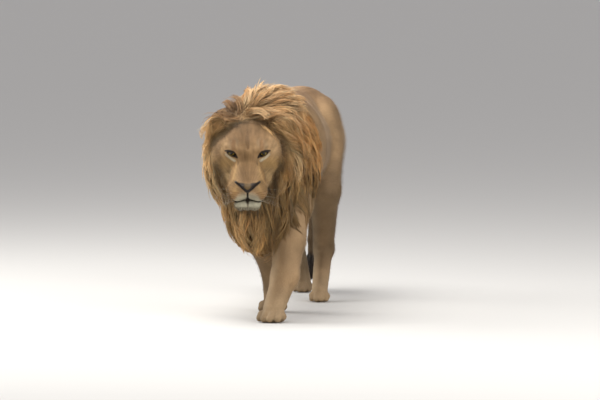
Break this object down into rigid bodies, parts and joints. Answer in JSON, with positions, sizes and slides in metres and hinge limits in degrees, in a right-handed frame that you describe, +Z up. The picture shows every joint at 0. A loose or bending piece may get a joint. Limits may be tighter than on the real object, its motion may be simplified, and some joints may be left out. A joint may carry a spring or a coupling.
{
  "type": "lion",
  "caption": "Life-size still model of a male lion walking, with a full mane, mouth shut, head lowered a little and tail hanging.",
  "frame": {"origin": "middle of the bounding box, on the floor that the four paws stand on", "axes": "-Y is the way the lion faces, +X is its left side and +Z is up"},
  "size_m": [0.4838, 1.9588, 1.0424],
  "materials": {
    "coat": "short tawny fur",
    "mane": "long golden mane hair",
    "tail_tuft": "long dark brown hair",
    "lips": "short pale fur",
    "nose_leather": "dark moist skin",
    "eye": "glossy amber"
  },
  "bodies": {
    "root": {"upper_arm_left": "coat", "forearm_left": "coat", "forepaw_left": "coat", "upper_arm_right": "coat", "forearm_right": "coat", "forepaw_right": "coat", "thigh_left": "coat", "shank_left": "coat", "hindpaw_left": "coat", "thigh_right": "coat", "shank_right": "coat", "hindpaw_right": "coat", "tail": "coat", "tail_tuft": "tail_tuft", "trunk": "coat", "head": "coat", "lower_jaw": "lips", "nose": "nose_leather", "ear_left": "coat", "eye_left": "eye", "ear_right": "coat", "eye_right": "eye", "mane_ruff": "mane", "neck": "mane", "mane_chest": "mane"}
  },
  "joints": []
}
